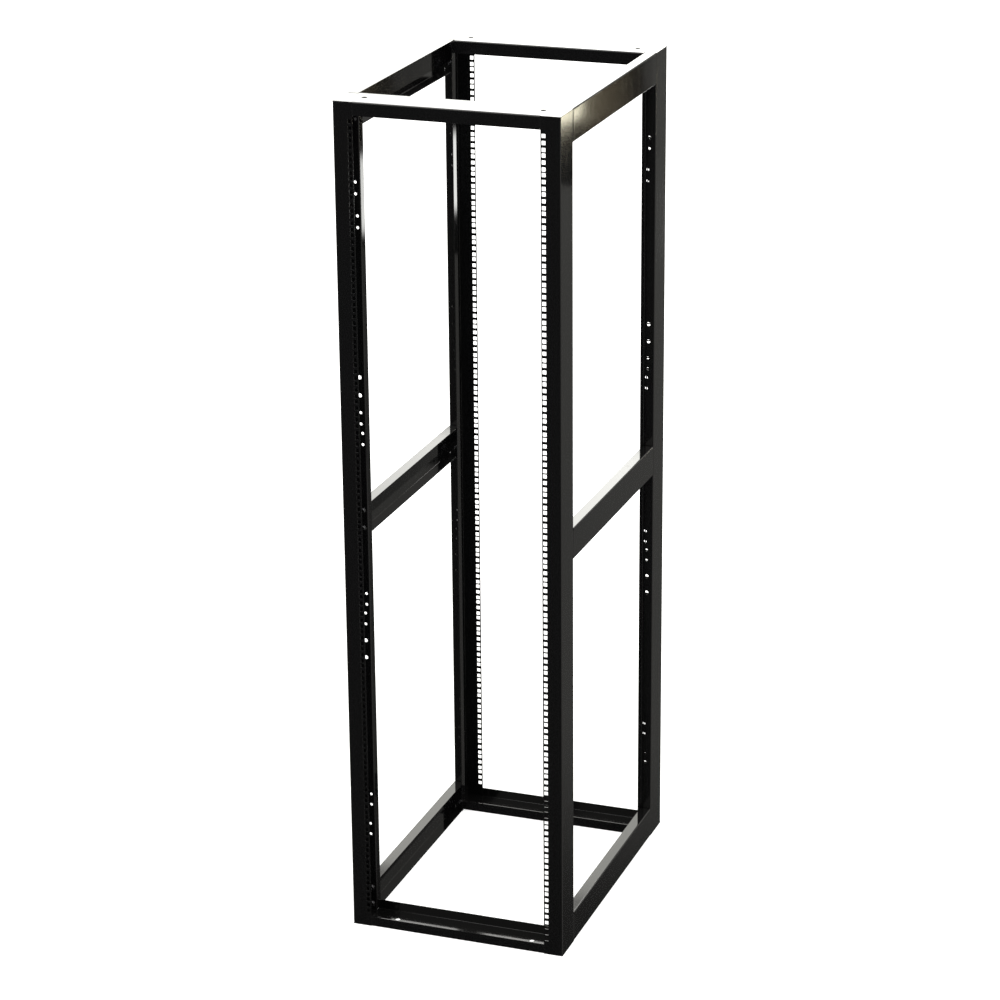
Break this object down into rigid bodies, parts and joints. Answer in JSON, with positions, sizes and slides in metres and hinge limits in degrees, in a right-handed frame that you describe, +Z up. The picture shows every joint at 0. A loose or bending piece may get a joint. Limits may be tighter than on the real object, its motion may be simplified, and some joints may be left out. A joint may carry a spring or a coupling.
{
  "type": "four post open frame rack",
  "caption": "Open frame rack of folded steel posts with square-hole mounting flanges, tied by channels front and rear and by side rails at the foot, middle and top",
  "frame": {"origin": "centre of the footprint, on the floor", "axes": "+Z up, front faces -Y, +X to the right seen from the front"},
  "size_m": [0.5462, 0.8002, 2.0733],
  "materials": {
    "post_coat": "satin powder coat",
    "channel_coat": "satin powder coat",
    "rail_coat": "satin powder coat"
  },
  "bodies": {
    "root": {"post_front_left": "post_coat", "post_front_right": "post_coat", "post_rear_left": "post_coat", "post_rear_right": "post_coat", "base_channel_front": "channel_coat", "base_channel_rear": "channel_coat", "top_channel_front": "channel_coat", "top_channel_rear": "channel_coat", "side_rail_left_bottom": "rail_coat", "side_rail_left_middle": "rail_coat", "side_rail_left_top": "rail_coat", "side_rail_right_bottom": "rail_coat", "side_rail_right_middle": "rail_coat", "side_rail_right_top": "rail_coat"}
  },
  "joints": []
}
